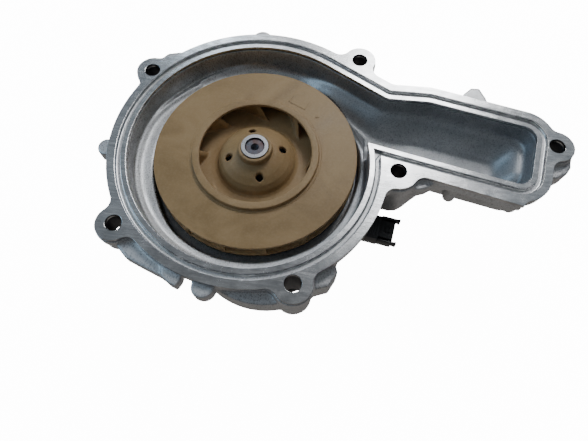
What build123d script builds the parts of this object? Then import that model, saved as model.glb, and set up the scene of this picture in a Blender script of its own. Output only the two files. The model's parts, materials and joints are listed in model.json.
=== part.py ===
from build123d import *
import os
from math import atan2, cos, degrees, hypot, log, radians, sin, tan

# Coolant pump of a heavy diesel engine, with a belt pulley that an electromagnet couples
# to the impeller shaft. Millimetres. The origin is where the shaft axis meets the machined
# mounting face. +Z points out of that face, +X along the discharge duct, and the pulley is at -Z.

# ---------------------------------------------------------------- driving dimensions

# Housing: cavity seen along the shaft
VOLUTE_R = 79.6            # inner wall of the volute over most of the turn
DUCT_TANGENT_DEG = 62.0    # where the wall leaves the circle for the duct
SPIRAL_START_DEG = -85.0   # where the wall starts to close in on the impeller
SPIRAL_MID_DEG = -36.0
SPIRAL_MID_R = 76.3
TONGUE_DEG = 10.0          # tip of the tongue that splits volute and duct
TONGUE_R = 70.6
DUCT_SLOPE_DEG = -10.3     # direction in which the duct runs
DUCT_WIDTH = 42.6
DUCT_LENGTH = 101.0        # from the tongue tip to the end wall
DUCT_BEND_AT = 31.0        # from the tongue tip to the bend in the far wall
DUCT_SHOULDER_Y = 47.5
DUCT_CORNER_R = 8.5

# Housing: flange and seal groove, as distances outwards from the cavity wall
GROOVE_INNER = 3.2
GROOVE_WIDTH = 3.6
GROOVE_DEPTH = 2.6
FLANGE_WIDTH = 12.0
DUCT_FOOT_WIDTH = 14.2     # the flange is wider along the duct's near side
FLANGE_THICK = 9.0
WALL = 4.8

# Housing: bolt holes (centre x, y), radius of the lug around each and depth of its boss
BOLT_HOLE_R = 5.0
LUGS = {
    "upper_left": (-78.2, 49.6, 10.6, 16.0),
    "upper_right": (59.6, 77.2, 10.6, 16.0),
    "lower_left": (-72.3, -62.4, 11.0, 18.0),
    "bottom": (35.6, -84.1, 11.4, 31.0),
    "right": (89.8, -5.6, 12.3, 33.0),
    "far_right": (187.3, 25.5, 10.8, 16.0),
}

# Housing: wing of the flange beside the upper left lug
WING = ((-80.0, 56.0), (-73.0, 61.5), (-62.0, 65.0), (-59.0, 62.0), (-60.0, 54.0))

# Housing: round lobes and bosses that show past the flange (centre x, y, radius, bottom, top)
LOBES = (
    (-93.0, -11.0, 6.0, -13.0, -3.0), (-10.5, 92.0, 7.0, -14.0, -5.0),
    (-14.0, -91.5, 6.8, -13.0, -3.0), (15.0, -50.0, 46.5, -26.0, -9.5), (127.5, -5.0, 4.0, -27.0, -4.5),
    (166.0, -5.5, 6.0, -27.0, -4.5),
)

# Housing: flat webs and pads that show past the flange (outline, bottom, top)
WEBS = (
    (((-80, -62), (-73, -70.5), (-66, -77), (-62, -80.5), (-51, -84.5), (-38, -89), (-34, -80), (-60, -58)),
     -14.0, -5.0),
    (((-40, -82), (-38.5, -89), (-33, -92.5), (-29, -94), (-27, -90), (-26, -82)), -12.0, -3.5),
    (((-80, 60), (-73, 69), (-64, 71.5), (-61, 68), (-60, 55), (-70, 52)), -14.0, -4.0),
    (((184, 20), (199, 22), (198, 15), (195.5, 10.5), (188, 5.5), (178, 8)), -20.0, -6.0),
    (((40, -80), (47.5, -84), (56, -80.5), (60, -72), (56, -60)), -26.0, -8.5),
    (((127, 50), (131, 62), (136, 67.5), (141.5, 68), (146, 60), (150, 45)), -14.0, -4.0),
    (((97, -13.5), (103.4, -14.6), (108.4, -12.6), (113.3, -9), (119.6, -7.8), (125, -7.6), (125, -1),
      (97, 2)), -14.0, -4.5),
    (((84, -17.3), (94, -17), (100.7, -11.6), (107.8, -4.7), (112, 1), (88, 2)), -33.0, -6.0),
)

# Housing: levels
LEDGE_Z = -15.0            # ledge between the volute wall and the impeller chamber
CHAMBER_R = 70.4
CHAMBER_Z = -24.0
DUCT_Z = -28.0
VOLUTE_BACK_Z = -29.0
DUCT_BACK_Z = -33.0
SNOUT_SHOULDER_Z = -58.0
SNOUT_END_Z = -88.0

# Housing: stepped bore behind the chamber, each step a radius and how deep it reaches
SEAL_BORE_STEPS = ((21.0, -31.0), (17.5, -43.0), (13.0, -60.0))
CIRCLIP_GROOVE_Z = (-85.6, -84.1)
CIRCLIP_Z = (-85.5, -84.2)
CIRCLIP_GROOVE_INSIDE = (15.0, 20.4)
CIRCLIP_GROOVE_OUTSIDE = (26.3, 29.0)
DRAIN_HOLE_R = 1.6
DRAIN_HOLE_Z = -44.5

# Shaft line
IMPELLER_SEAT_R = 6.2
SHAFT_R = 8.0
BEARING_SHAFT_R = 9.0
SHAFT_STEP_Z = -24.5
SHAFT_FRONT_Z = -1.3
BEARING_Z = (-84.0, -46.0)
BEARING_OUTER_R = 19.0
BEARING_LAND_R = 14.2
BALL_PITCH_R = 11.6
BALL_R = 3.57
BALLS_PER_ROW = 8
BALL_ROWS_Z = (-76.0, -54.0)
RUN = 0.05                 # radial running clearance of balls in their races

# Impeller
IMPELLER_R = 65.0
EYE_R = 35.8
EYE_LIP_R = 40.7
EYE_LIP_Z = -6.1
SHROUD_Z = -8.9
SHROUD_THICK = 2.5
SHROUD_THROAT = ((35.8, -8.0), (38.5, -9.7), (42.0, -10.8), (47.0, -11.4))   # underside at the eye
DISC_Z = -19.4
DISC_BACK_Z = -21.6
BUSH_R = 8.5
BUSH_FRONT_Z = -0.1
SLEEVE_R = 10.9
SLEEVE_FRONT_Z = -0.8
BALANCE_R = 17.4
BALANCE_HOLE_R = 2.3
BALANCE_START_DEG = 17.0
MAIN_VANES = 8
VANE_THICK = 2.0
VANE_ANGLE_DEG = 32.3
VANE_TIP_DEG = -121.0
MAIN_VANE_R = 33.0         # at the disc; the leading edge leans out to the eye
SPLITTER_VANE_R = 44.0

# Clutch and pulley
SNOUT_R = 27.5
PULLEY_BEARING_Z = (-84.0, -58.0)
PULLEY_INNER_LAND_R = 31.4
PULLEY_OUTER_LAND_R = 37.6
PULLEY_BEARING_R = 42.0
PULLEY_BALL_PITCH_R = 34.5
PULLEY_BALL_R = 3.97
PULLEY_BALLS_PER_ROW = 16
PULLEY_BALL_ROWS_Z = (-77.0, -65.0)
ROTOR_CIRCLIP_Z = (-57.8, -56.3)
PULLEY_HUB_R = 47.5
PULLEY_R = 75.0
RIM_BORE_R = 66.0
RIM_Z = (-86.0, -48.0)
FRICTION_DISC_THICK = 7.0
RIBS = 8
RIB_PITCH = 3.56
RIB_DEPTH = 3.0
COIL_R = (49.5, 64.0)
COIL_Z = (-76.0, -51.0)
COIL_PLATE_Z = (-48.5, -46.5)
COIL_SCREW_PITCH_R = 39.5
COIL_SCREWS = 4
AIR_GAP = 0.5
ARMATURE_THICK = 4.0
ARMATURE_R = (46.0, 71.0)
SPRING_THICK = 0.8
HUB_FLANGE_R = 36.0
HUB_BACK_Z = -97.0
HUB_RIVET_PITCH_R = 29.0
ARMATURE_RIVET_PITCH_R = 56.0
SPRINGS = 3
SPRING_TURN_DEG = 44.0       # from a spring's hub rivet round to its armature rivet

# Electrical connector, in its own frame: origin at its root, x along the plug
PLUG_ROOT = (77.0, -28.3, -39.5)
PLUG_TURN_DEG = -8.0
PLUG_LENGTH = 18.5
PLUG_WIDTH = 17.0
PLUG_HEIGHT = 10.5


# ---------------------------------------------------------------- helpers

def at(radius, angle_deg):
    """Point on the XY plane from a radius and an angle."""
    return Vector(radius * cos(radians(angle_deg)), radius * sin(radians(angle_deg)))


def turned(*profile):
    """Solid of revolution about the shaft axis from (radius, z) corners."""
    face = make_face(Polyline(*[(r, 0, z) for r, z in profile], close=True))
    return revolve(face, Axis.Z, 360)


def tube(r_in, r_out, z_low, z_high):
    """Ring about the shaft axis."""
    return turned((r_in, z_low), (r_out, z_low), (r_out, z_high), (r_in, z_high))


def rod(radius, z_low, z_high, x=0.0, y=0.0):
    """Upright cylinder."""
    return Pos(x, y, (z_low + z_high) / 2) * Cylinder(radius, z_high - z_low)


def block(x_range, y_range, z_range):
    """Box between two limits on each axis."""
    sizes = [high - low for low, high in (x_range, y_range, z_range)]
    middle = [(high + low) / 2 for low, high in (x_range, y_range, z_range)]
    return Pos(*middle) * Box(*sizes)


def prism(face, z_low, z_high):
    """A plan outline given height."""
    return Pos(0, 0, z_low) * extrude(face, amount=z_high - z_low, dir=(0, 0, 1))


def around(solid, count, start_deg=0.0):
    """Copies of a solid spaced evenly about the shaft axis."""
    return [Rot(0, 0, start_deg + i * 360 / count) * solid for i in range(count)]


def corner(face, point):
    """The corner of an outline nearest to a point."""
    return face.vertices().sort_by_distance(Vector(*point))[0]


def closed(face, radius):
    """Outline with its inward corners rounded."""
    return offset(offset(face, radius, kind=Kind.ARC), -radius, kind=Kind.ARC)


def ball_row(ball_r, pitch_r, count, z):
    """One row of bearing balls."""
    return around(Pos(pitch_r, 0, z) * Sphere(ball_r), count)


def cage(pitch_r, ball_r, count, z):
    """Ring with a round pocket for each ball of one row."""
    half_thick = 0.22 * ball_r
    half_high = 1.22 * ball_r
    ring = tube(pitch_r - half_thick, pitch_r + half_thick, z - half_high, z + half_high)
    pocket = Pos(pitch_r, 0, z) * Rot(0, 90, 0) * Cylinder(ball_r + 0.2, 6 * half_thick)
    return ring - around(pocket, count)


def race_groove(pitch_r, ball_r, z):
    """Torus that cuts a ball groove."""
    return Pos(0, 0, z) * Torus(pitch_r, ball_r + RUN)


def circlip(r_in, r_out, z_range, gap, turn_deg=0.0):
    """Open spring ring that keeps a bearing in place."""
    low, high = z_range
    opening = block((0, r_out + 1), (-gap / 2, gap / 2), (low - 1, high + 1))
    return tube(r_in, r_out, low, high) - Rot(0, 0, turn_deg) * opening


def save(node, *solids):
    """Write one sub-part."""
    shape = solids[0] if len(solids) == 1 else Compound(children=list(solids))
    shape.label = node
    export_step(shape, f"parts/{node}.step")


# ---------------------------------------------------------------- housing

def duct_point(along, across):
    """Point in the duct's own directions, measured from the tongue tip."""
    tip = at(TONGUE_R, TONGUE_DEG)
    run = at(along, DUCT_SLOPE_DEG)
    side = at(across, DUCT_SLOPE_DEG + 90)
    return tip + run + side


def cavity_outline():
    """Plan of the cavity: volute circle, closing spiral, tongue and duct."""
    start = at(VOLUTE_R, DUCT_TANGENT_DEG)
    spiral = at(VOLUTE_R, SPIRAL_START_DEG)
    tip = duct_point(0, 0)
    near_end = duct_point(DUCT_LENGTH, 0)
    far_end = duct_point(DUCT_LENGTH, DUCT_WIDTH)
    bend = duct_point(DUCT_BEND_AT, DUCT_WIDTH)
    run_down = (start.Y - DUCT_SHOULDER_Y) / tan(radians(90 - DUCT_TANGENT_DEG))
    shoulder = Vector(start.X + run_down, DUCT_SHOULDER_Y)
    volute_turn = SPIRAL_START_DEG + 360 - DUCT_TANGENT_DEG
    edges = [
        CenterArc((0, 0), VOLUTE_R, DUCT_TANGENT_DEG, volute_turn),
        ThreePointArc(spiral, at(SPIRAL_MID_R, SPIRAL_MID_DEG), tip),
        Polyline(tip, near_end, far_end, bend, shoulder, start),
    ]
    face = make_face(Curve() + edges)
    for point, radius in ((near_end, DUCT_CORNER_R), (far_end, DUCT_CORNER_R),
                          (bend, 20.0), (shoulder, 9.0), (tip, 0.8)):
        face = fillet(corner(face, point), radius)
    return face


def flange_outline(cavity):
    """Plan of the mounting flange with its six lugs."""
    outline = offset(cavity, FLANGE_WIDTH, kind=Kind.ARC)
    foot = make_face(Polyline(duct_point(28, 0), duct_point(28, -DUCT_FOOT_WIDTH + 1),
                              duct_point(DUCT_LENGTH - 2, -DUCT_FOOT_WIDTH),
                              duct_point(DUCT_LENGTH - 2, 0), close=True))
    outline += foot
    outline += make_face(Polyline(*WING, close=True))
    for x, y, lug_r, _ in LUGS.values():
        outline += Pos(x, y) * Circle(lug_r)
    return closed(outline, 7.0)


def cast_ears():
    """Lobes, webs and pads of the casting that show past the flange."""
    ears = [rod(radius, low, high, x, y) for x, y, radius, low, high in LOBES]
    for outline, low, high in WEBS:
        plan = make_face(Polyline(*outline, close=True))
        ears.append(prism(fillet(plan.vertices(), 1.2), low, high))
    return ears


def housing_body(cavity):
    """The casting before anything is cut out of it."""
    body = prism(flange_outline(cavity), -FLANGE_THICK, 0)
    wall_plan = offset(cavity, WALL, kind=Kind.ARC)
    volute_plan = wall_plan & Circle(VOLUTE_R + WALL)
    body += prism(volute_plan, VOLUTE_BACK_Z, -FLANGE_THICK / 2)
    duct_plan = wall_plan & (Pos(133, 25) * Rectangle(150, 130))
    duct = prism(duct_plan, DUCT_BACK_Z, -FLANGE_THICK / 2)
    body += fillet(duct.edges().group_by(Axis.Z)[0], 4.0)
    for x, y, lug_r, depth in LUGS.values():
        body += rod(lug_r - 0.5, -depth, -FLANGE_THICK / 2, x, y)
    for piece in cast_ears():
        body += piece
    # Bearing carrier behind the chamber, with stiffening ribs
    body += turned((0, VOLUTE_BACK_Z + 1), (46, VOLUTE_BACK_Z + 1), (46, VOLUTE_BACK_Z),
                   (31, -43), (30.2, SNOUT_SHOULDER_Z), (SNOUT_R, SNOUT_SHOULDER_Z),
                   (SNOUT_R, SNOUT_END_Z), (0, SNOUT_END_Z))
    rib = block((24, 79), (-2.5, 2.5), (-41, VOLUTE_BACK_Z + 1))
    rib = chamfer(rib.edges().filter_by(Axis.Y).group_by(Axis.X)[-1].group_by(Axis.Z)[0], 10, 40)
    for angle in (30, 90, 150, 210, 270):
        body += Rot(0, 0, angle) * rib
    for pad in around(rod(6.0, COIL_PLATE_Z[1], VOLUTE_BACK_Z + 1, COIL_SCREW_PITCH_R), COIL_SCREWS, 15):
        body += pad
    return body


def housing_cuts(cavity):
    """Everything machined or cored out of the casting."""
    chamber = rod(CHAMBER_R, CHAMBER_Z, 1)
    ledge = rod(VOLUTE_R + 1, LEDGE_Z, 1)
    reach = 220.0
    trough = block((84, reach), (-reach, reach), (DUCT_Z, 1))
    ramp = extrude(make_face(Plane.XZ * Polyline((18, 1), (18, LEDGE_Z), (84.5, DUCT_Z), (84.5, 1),
                                                close=True)), amount=-100)
    open_space = (chamber + ledge + trough + ramp) & prism(cavity, -60, 1)
    cuts = [open_space]
    groove = offset(cavity, GROOVE_INNER + GROOVE_WIDTH, kind=Kind.ARC)
    groove -= offset(cavity, GROOVE_INNER, kind=Kind.ARC)
    cuts.append(prism(groove, -GROOVE_DEPTH, 1))
    for x, y, _, depth in LUGS.values():
        cuts.append(rod(BOLT_HOLE_R, -depth - 20, 1, x, y))
    # Bores for the shaft seal and the bearing, with the drain chamber between them
    for radius, depth in SEAL_BORE_STEPS:
        cuts.append(rod(radius, depth, 0))
    cuts.append(rod(BEARING_OUTER_R, SNOUT_END_Z - 1, BEARING_Z[1]))
    cuts.append(tube(*CIRCLIP_GROOVE_INSIDE, *CIRCLIP_GROOVE_Z))
    cuts.append(tube(*CIRCLIP_GROOVE_OUTSIDE, *CIRCLIP_GROOVE_Z))
    cuts.append(Pos(0, -30, DRAIN_HOLE_Z) * Rot(90, 0, 0) * Cylinder(DRAIN_HOLE_R, 40))
    for hole in around(rod(2.1, COIL_PLATE_Z[1] - 1, -36.0, COIL_SCREW_PITCH_R), COIL_SCREWS, 15):
        cuts.append(hole)
    return cuts


def make_housing():
    cavity = cavity_outline()
    return housing_body(cavity) - housing_cuts(cavity)


# ---------------------------------------------------------------- shaft, seal and bearing

def make_shaft():
    bearing_low, bearing_high = BEARING_Z
    shaft = turned((0, -96.5), (5.4, -96.5), (6.0, -95.9), (6.0, -88.5), (7.2, -88.5), (7.2, bearing_low),
                   (BEARING_SHAFT_R, bearing_low), (BEARING_SHAFT_R, bearing_high),
                   (SHAFT_R, bearing_high), (SHAFT_R, SHAFT_STEP_Z), (IMPELLER_SEAT_R, SHAFT_STEP_Z),
                   (IMPELLER_SEAT_R, SHAFT_FRONT_Z - 0.6), (IMPELLER_SEAT_R - 0.6, SHAFT_FRONT_Z),
                   (2.6, SHAFT_FRONT_Z), (0, SHAFT_FRONT_Z - 2.6))
    return shaft - [race_groove(BALL_PITCH_R, BALL_R, z) for z in BALL_ROWS_Z]


def make_bearing_outer_ring():
    ring = tube(BEARING_LAND_R, BEARING_OUTER_R, *BEARING_Z)
    return ring - [race_groove(BALL_PITCH_R, BALL_R, z) for z in BALL_ROWS_Z]


def lip_seal(r_in, r_out, z):
    """Thin dished seal that closes one end of a bearing."""
    return turned((r_in, z - 0.5), (r_in + 0.8, z - 0.8), (r_out, z - 0.8), (r_out, z + 0.8),
                  (r_in + 0.8, z + 0.8), (r_in, z + 0.5))


def make_seal_cup():
    return turned((11.0, -43.0), (17.5, -43.0), (17.5, -31.0), (20.5, -31.0), (20.5, -30.2),
                  (16.7, -30.2), (16.7, -42.2), (11.0, -42.2))


def make_seal_spring():
    coil = Helix(pitch=2.0, height=6.0, radius=14.9)
    section = Plane(origin=coil @ 0, z_dir=coil % 0) * Circle(0.6)
    return Pos(0, 0, -41.4) * sweep(section, path=coil)


def make_seal_bellows():
    return turned((9.6, -42.0), (12.8, -42.0), (12.8, -41.0), (11.6, -40.2), (13.2, -38.4),
                  (11.6, -36.6), (13.2, -35.0), (9.6, -35.0), (9.6, -35.8), (10.4, -36.6),
                  (12.0, -38.4), (10.4, -40.2), (9.6, -41.0))


def make_seal_face_ring():
    return turned((9.6, -35.0), (14.0, -35.0), (14.0, -32.4), (12.6, -32.4), (12.6, -30.05), (9.6, -30.05))


# ---------------------------------------------------------------- impeller

def spiral_angle(radius):
    """Turn of the vane, in degrees, from its tip back to a radius."""
    return degrees(log(IMPELLER_R / radius) / tan(radians(VANE_ANGLE_DEG)))


def vane_plan(root_r, tip_deg):
    """Plan of one vane: a logarithmic spiral strip of even thickness."""
    steps = 10
    half_turn = degrees(VANE_THICK / 2 / sin(radians(VANE_ANGLE_DEG)))
    radii = [root_r * (IMPELLER_R / root_r) ** (i / steps) for i in range(steps + 1)]
    sides = []
    for sign in (-1, 1):
        sides.append(Spline(*[at(r, tip_deg - spiral_angle(r) + sign * half_turn / r) for r in radii]))
    left, right = sides
    return make_face(Curve() + [left, right, Line(left @ 0, right @ 0), Line(left @ 1, right @ 1)])


def make_impeller_hub():
    bell = turned((BUSH_R, SLEEVE_FRONT_Z), (SLEEVE_R, SLEEVE_FRONT_Z), (SLEEVE_R, -5.5), (14.0, -6.8),
                  (18.2, -9.2), (22.0, -12.2), (24.4, -15.2), (25.6, -17.8), (27.4, -19.0), (30.0, DISC_Z),
                  (IMPELLER_R, DISC_Z), (IMPELLER_R, DISC_BACK_Z), (27.5, DISC_BACK_Z), (24.2, -21.0),
                  (22.6, -17.6), (19.6, -13.8), (15.5, -10.8), (12.0, -10.8), (12.0, -24.0), (BUSH_R, -24.0))
    throat_z = SHROUD_THROAT[0][1]
    above_vanes = turned((0, 1), (IMPELLER_R + 1, 1), (IMPELLER_R + 1, SHROUD_Z - SHROUD_THICK),
                         *reversed(SHROUD_THROAT), (0, throat_z))
    in_eye = turned((0, 1), (EYE_R + 0.8, 1), (EYE_R + 0.8, throat_z), (MAIN_VANE_R + 0.4, DISC_Z), (0, DISC_Z))
    vanes = []
    pitch = 360 / MAIN_VANES
    for i in range(MAIN_VANES):
        for root_r, shift in ((MAIN_VANE_R, 0), (SPLITTER_VANE_R, pitch / 2)):
            plan = vane_plan(root_r, VANE_TIP_DEG + i * pitch + shift)
            blade = prism(plan, DISC_Z - 1, throat_z)
            vanes.append((blade - [above_vanes, in_eye]) & rod(IMPELLER_R, -30, 0))
    hub = bell + vanes
    return hub - around(rod(BALANCE_HOLE_R, -30, 0, BALANCE_R), 4, BALANCE_START_DEG)


def make_impeller_shroud():
    return turned(*SHROUD_THROAT, (IMPELLER_R, SHROUD_Z - SHROUD_THICK), (IMPELLER_R, SHROUD_Z - 0.8),
                  (IMPELLER_R - 0.8, SHROUD_Z), (EYE_LIP_R, SHROUD_Z), (EYE_LIP_R - 0.4, EYE_LIP_Z),
                  (EYE_R, EYE_LIP_Z))


# ---------------------------------------------------------------- clutch and pulley

def make_clutch_rotor():
    """Rim carrier with the friction disc and the bearing hub."""
    low, high = RIM_Z
    disc_top = low + FRICTION_DISC_THICK
    rotor = turned((40.0, low), (ARMATURE_R[1], low), (ARMATURE_R[1], high), (RIM_BORE_R, high),
                   (RIM_BORE_R, disc_top), (PULLEY_HUB_R, disc_top), (PULLEY_HUB_R, -55.0),
                   (PULLEY_BEARING_R, -55.0), (PULLEY_BEARING_R, -84.2), (40.0, -84.2))
    clip_low, clip_high = ROTOR_CIRCLIP_Z
    rotor -= tube(PULLEY_BEARING_R - 1, 43.3, clip_low - 0.1, clip_high + 0.1)
    # Arc slots that steer the magnetic flux through the disc
    slot_ring = tube(53.0, 55.0, low - 1, disc_top + 1)
    bridge = block((50, 58), (-3, 3), (low - 2, disc_top + 2))
    return rotor - (slot_ring - around(bridge, 4, 45))


def make_pulley_rim():
    """Grooved belt rim."""
    low, high = RIM_Z
    ribs_width = RIBS * RIB_PITCH
    first = (low + high) / 2 - ribs_width / 2
    profile = [(ARMATURE_R[1], low), (PULLEY_R, low), (PULLEY_R, first)]
    for i in range(RIBS):
        z = first + i * RIB_PITCH
        profile += [(PULLEY_R - RIB_DEPTH, z + 0.40 * RIB_PITCH), (PULLEY_R - RIB_DEPTH, z + 0.60 * RIB_PITCH),
                    (PULLEY_R, z + 0.94 * RIB_PITCH)]
        if i < RIBS - 1:
            profile.append((PULLEY_R, z + 1.06 * RIB_PITCH))
    profile += [(PULLEY_R, high), (ARMATURE_R[1], high)]
    return turned(*profile)


def make_coil_shell():
    inner, outer = COIL_R
    low, high = COIL_Z
    top = COIL_PLATE_Z[0]
    return turned((inner, low), (inner + 2.5, low), (inner + 2.5, high), (outer - 2.5, high),
                  (outer - 2.5, low), (outer, low), (outer, top), (inner, top))


def make_coil_plate():
    plate = tube(33.0, COIL_R[1], *COIL_PLATE_Z)
    low, high = COIL_PLATE_Z
    return plate - around(rod(2.3, low - 1, high + 1, COIL_SCREW_PITCH_R), COIL_SCREWS, 15)


def make_coil_screws():
    low = COIL_PLATE_Z[0]
    head = rod(4.0, low - 3.0, low, COIL_SCREW_PITCH_R)
    socket = Pos(COIL_SCREW_PITCH_R, 0, low - 3.0) * extrude(RegularPolygon(2.2, 6), 1.6)
    screw = head + rod(2.0, low, -37.0, COIL_SCREW_PITCH_R) - socket
    return around(screw, COIL_SCREWS, 15)


def make_armature():
    high = RIM_Z[0] - AIR_GAP
    plate = tube(*ARMATURE_R, high - ARMATURE_THICK, high)
    slots = tube(60.5, 62.0, high - ARMATURE_THICK - 1, high + 1)
    slots -= around(block((58, 65), (-4, 4), (high - 6, high + 2)), 3, 60)
    holes = around(rod(2.1, -100, -80, ARMATURE_RIVET_PITCH_R), SPRINGS, SPRING_TURN_DEG)
    return plate - slots - holes


def spring_back_z():
    return RIM_Z[0] - AIR_GAP - ARMATURE_THICK - SPRING_THICK


def make_leaf_spring():
    start = at(HUB_RIVET_PITCH_R, 0)
    end = at(ARMATURE_RIVET_PITCH_R, SPRING_TURN_DEG)
    strip_deg = degrees(atan2(end.Y - start.Y, end.X - start.X))
    middle = (start + end) * 0.5
    length = hypot(end.X - start.X, end.Y - start.Y) + 11.0
    strip = Pos(middle.X, middle.Y) * Rot(0, 0, strip_deg) * RectangleRounded(length, 11.0, 5.4)
    strip -= Pos(start.X, start.Y) * Circle(2.1)
    strip -= Pos(end.X, end.Y) * Circle(2.1)
    return prism(strip, spring_back_z(), spring_back_z() + SPRING_THICK)


def make_clutch_hub():
    front = spring_back_z()
    hub = turned((7.2, -88.5), (7.2, -84.2), (13.0, -84.2), (13.0, front), (HUB_FLANGE_R, front),
                 (HUB_FLANGE_R, HUB_BACK_Z + 1), (HUB_FLANGE_R - 1, HUB_BACK_Z), (15.0, HUB_BACK_Z),
                 (15.0, -91.0), (6.2, -91.0), (6.2, -88.5))
    hub -= around(rod(2.1, -100, -80, HUB_RIVET_PITCH_R), SPRINGS)
    return hub - around(rod(3.6, -100, HUB_BACK_Z + 1.3, HUB_RIVET_PITCH_R), SPRINGS)


def rivet(pitch_r, *steps):
    """Rivet made of stacked discs: each step is a radius and its two heights."""
    return Part() + [rod(radius, low, high, pitch_r) for radius, low, high in steps]


def make_hub_rivet():
    spring_top = spring_back_z() + SPRING_THICK
    return rivet(HUB_RIVET_PITCH_R, (3.4, HUB_BACK_Z, HUB_BACK_Z + 1.3),
                 (2.0, HUB_BACK_Z + 1.3, spring_top), (3.4, spring_top, spring_top + 1.0))


def make_armature_rivet():
    low = spring_back_z()
    return rivet(ARMATURE_RIVET_PITCH_R, (3.4, low - 1.0, low), (2.0, low, RIM_Z[0] - AIR_GAP - 0.6))


def make_hub_nut():
    nut = prism(RegularPolygon(10.4, 6), HUB_BACK_Z, -91.0)
    return nut - rod(6.02, -100, -80)


# ---------------------------------------------------------------- connector

def plug_frame():
    return Pos(*PLUG_ROOT) * Rot(0, 0, PLUG_TURN_DEG)


def make_connector_body():
    rear = block((-4, 9), (-PLUG_WIDTH / 2, PLUG_WIDTH / 2), (-PLUG_HEIGHT / 2, PLUG_HEIGHT / 2))
    front = block((9, PLUG_LENGTH), (-PLUG_WIDTH / 2 + 0.3, PLUG_WIDTH / 2 - 0.3),
                  (-PLUG_HEIGHT / 2 + 0.6, PLUG_HEIGHT / 2 - 0.6))
    body = rear + front
    for side in (-1, 1):
        edge = side * (PLUG_WIDTH / 2 - 0.2)
        body += block((9, PLUG_LENGTH + 2.8), (edge - 0.9, edge + 0.9), (0.5, PLUG_HEIGHT / 2))
    latch = Plane.XZ * Polyline((12.0, PLUG_HEIGHT / 2 - 0.8), (15.5, PLUG_HEIGHT / 2 + 0.9),
                                (16.3, PLUG_HEIGHT / 2 + 0.9), (16.3, PLUG_HEIGHT / 2 - 0.8), close=True)
    body += Pos(0, 2.2, 0) * extrude(make_face(latch), amount=4.4)
    neck = block((-17, -3.5), (-6, 6), (-PLUG_HEIGHT / 2, 0))
    socket = block((8.5, PLUG_LENGTH + 4), (-5.6, 5.6), (-3.0, 2.6))
    pins = [block((0, 9), (y - 0.45, y + 0.45), (-0.85, 0.45)) for y in (-2.5, 2.5)]
    return plug_frame() * (body + neck - socket - pins)


def make_connector_pins():
    pins = [block((1, 15), (y - 0.4, y + 0.4), (-0.8, 0.4)) for y in (-2.5, 2.5)]
    return [plug_frame() * pin for pin in pins]


# ---------------------------------------------------------------- write the sub-parts

os.makedirs("parts", exist_ok=True)

save("pump_housing", make_housing())
save("seal_cup", make_seal_cup())
save("seal_spring", make_seal_spring())
save("seal_bellows", make_seal_bellows())
save("seal_face_ring", make_seal_face_ring())
save("bearing_outer_ring", make_bearing_outer_ring())
save("bearing_seals", *[lip_seal(BEARING_SHAFT_R + 0.1, BEARING_LAND_R, z) for z in (-83.0, -47.0)])
save("bearing_circlip", circlip(17.2, 20.3, CIRCLIP_Z, 10.0))
save("coil_plate", make_coil_plate())
save("coil_shell", make_coil_shell())
save("coil_winding", tube(COIL_R[0] + 3.6, COIL_R[1] - 3.6, COIL_Z[0] + 2.5, COIL_Z[1] - 1.1))
save("coil_bobbin", tube(COIL_R[0] + 2.5, COIL_R[1] - 2.5, COIL_Z[0] + 1.2, COIL_Z[1])
     - tube(COIL_R[0] + 3.6, COIL_R[1] - 3.6, COIL_Z[0] + 2.5, COIL_Z[1] - 1.1))
save("coil_screws", *make_coil_screws())
save("connector_body", make_connector_body())
save("connector_pins", *make_connector_pins())
save("pulley_bearing_inner_ring", tube(SNOUT_R, PULLEY_INNER_LAND_R, *PULLEY_BEARING_Z)
     - [race_groove(PULLEY_BALL_PITCH_R, PULLEY_BALL_R, z) for z in PULLEY_BALL_ROWS_Z])
save("pulley_bearing_circlip", circlip(26.35, 29.6, CIRCLIP_Z, 10.0, 180))

save("pump_shaft", make_shaft())
save("impeller_bush", tube(IMPELLER_SEAT_R, BUSH_R, SHAFT_STEP_Z, BUSH_FRONT_Z))
save("impeller_hub", make_impeller_hub())
save("impeller_shroud", make_impeller_shroud())
save("seal_mating_ring", tube(10.0, 15.0, -30.0, -26.5))
save("seal_mating_cup", turned((SHAFT_R, -30.0), (10.0, -30.0), (10.0, -26.5), (15.0, -26.5),
                               (15.0, -25.3), (SHAFT_R, -25.3)))
save("clutch_hub", make_clutch_hub())
save("hub_nut", make_hub_nut())
save("leaf_springs", *around(make_leaf_spring(), SPRINGS))
save("hub_rivets", *around(make_hub_rivet(), SPRINGS))

save("armature_plate", make_armature())
save("armature_rivets", *around(make_armature_rivet(), SPRINGS, SPRING_TURN_DEG))

save("clutch_rotor", make_clutch_rotor())
save("pulley_rim", make_pulley_rim())
save("pulley_bearing_outer_ring", tube(PULLEY_OUTER_LAND_R, PULLEY_BEARING_R, *PULLEY_BEARING_Z)
     - [race_groove(PULLEY_BALL_PITCH_R, PULLEY_BALL_R, z) for z in PULLEY_BALL_ROWS_Z])
save("pulley_bearing_seals", *[lip_seal(PULLEY_INNER_LAND_R + 0.1, PULLEY_OUTER_LAND_R, z)
                               for z in (-83.0, -59.0)])
save("rotor_circlip", circlip(38.9, 43.2, ROTOR_CIRCLIP_Z, 12.0))

save("shaft_bearing_balls", *[ball for z in BALL_ROWS_Z
                              for ball in ball_row(BALL_R, BALL_PITCH_R, BALLS_PER_ROW, z)])
save("shaft_bearing_cages", *[cage(BALL_PITCH_R, BALL_R, BALLS_PER_ROW, z) for z in BALL_ROWS_Z])
save("pulley_bearing_balls", *[ball for z in PULLEY_BALL_ROWS_Z for ball in
                               ball_row(PULLEY_BALL_R, PULLEY_BALL_PITCH_R, PULLEY_BALLS_PER_ROW, z)])
save("pulley_bearing_cages", *[cage(PULLEY_BALL_PITCH_R, PULLEY_BALL_R, PULLEY_BALLS_PER_ROW, z)
                               for z in PULLEY_BALL_ROWS_Z])
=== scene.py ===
import json
from math import cos, hypot, pi, radians, sin, tan

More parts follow.
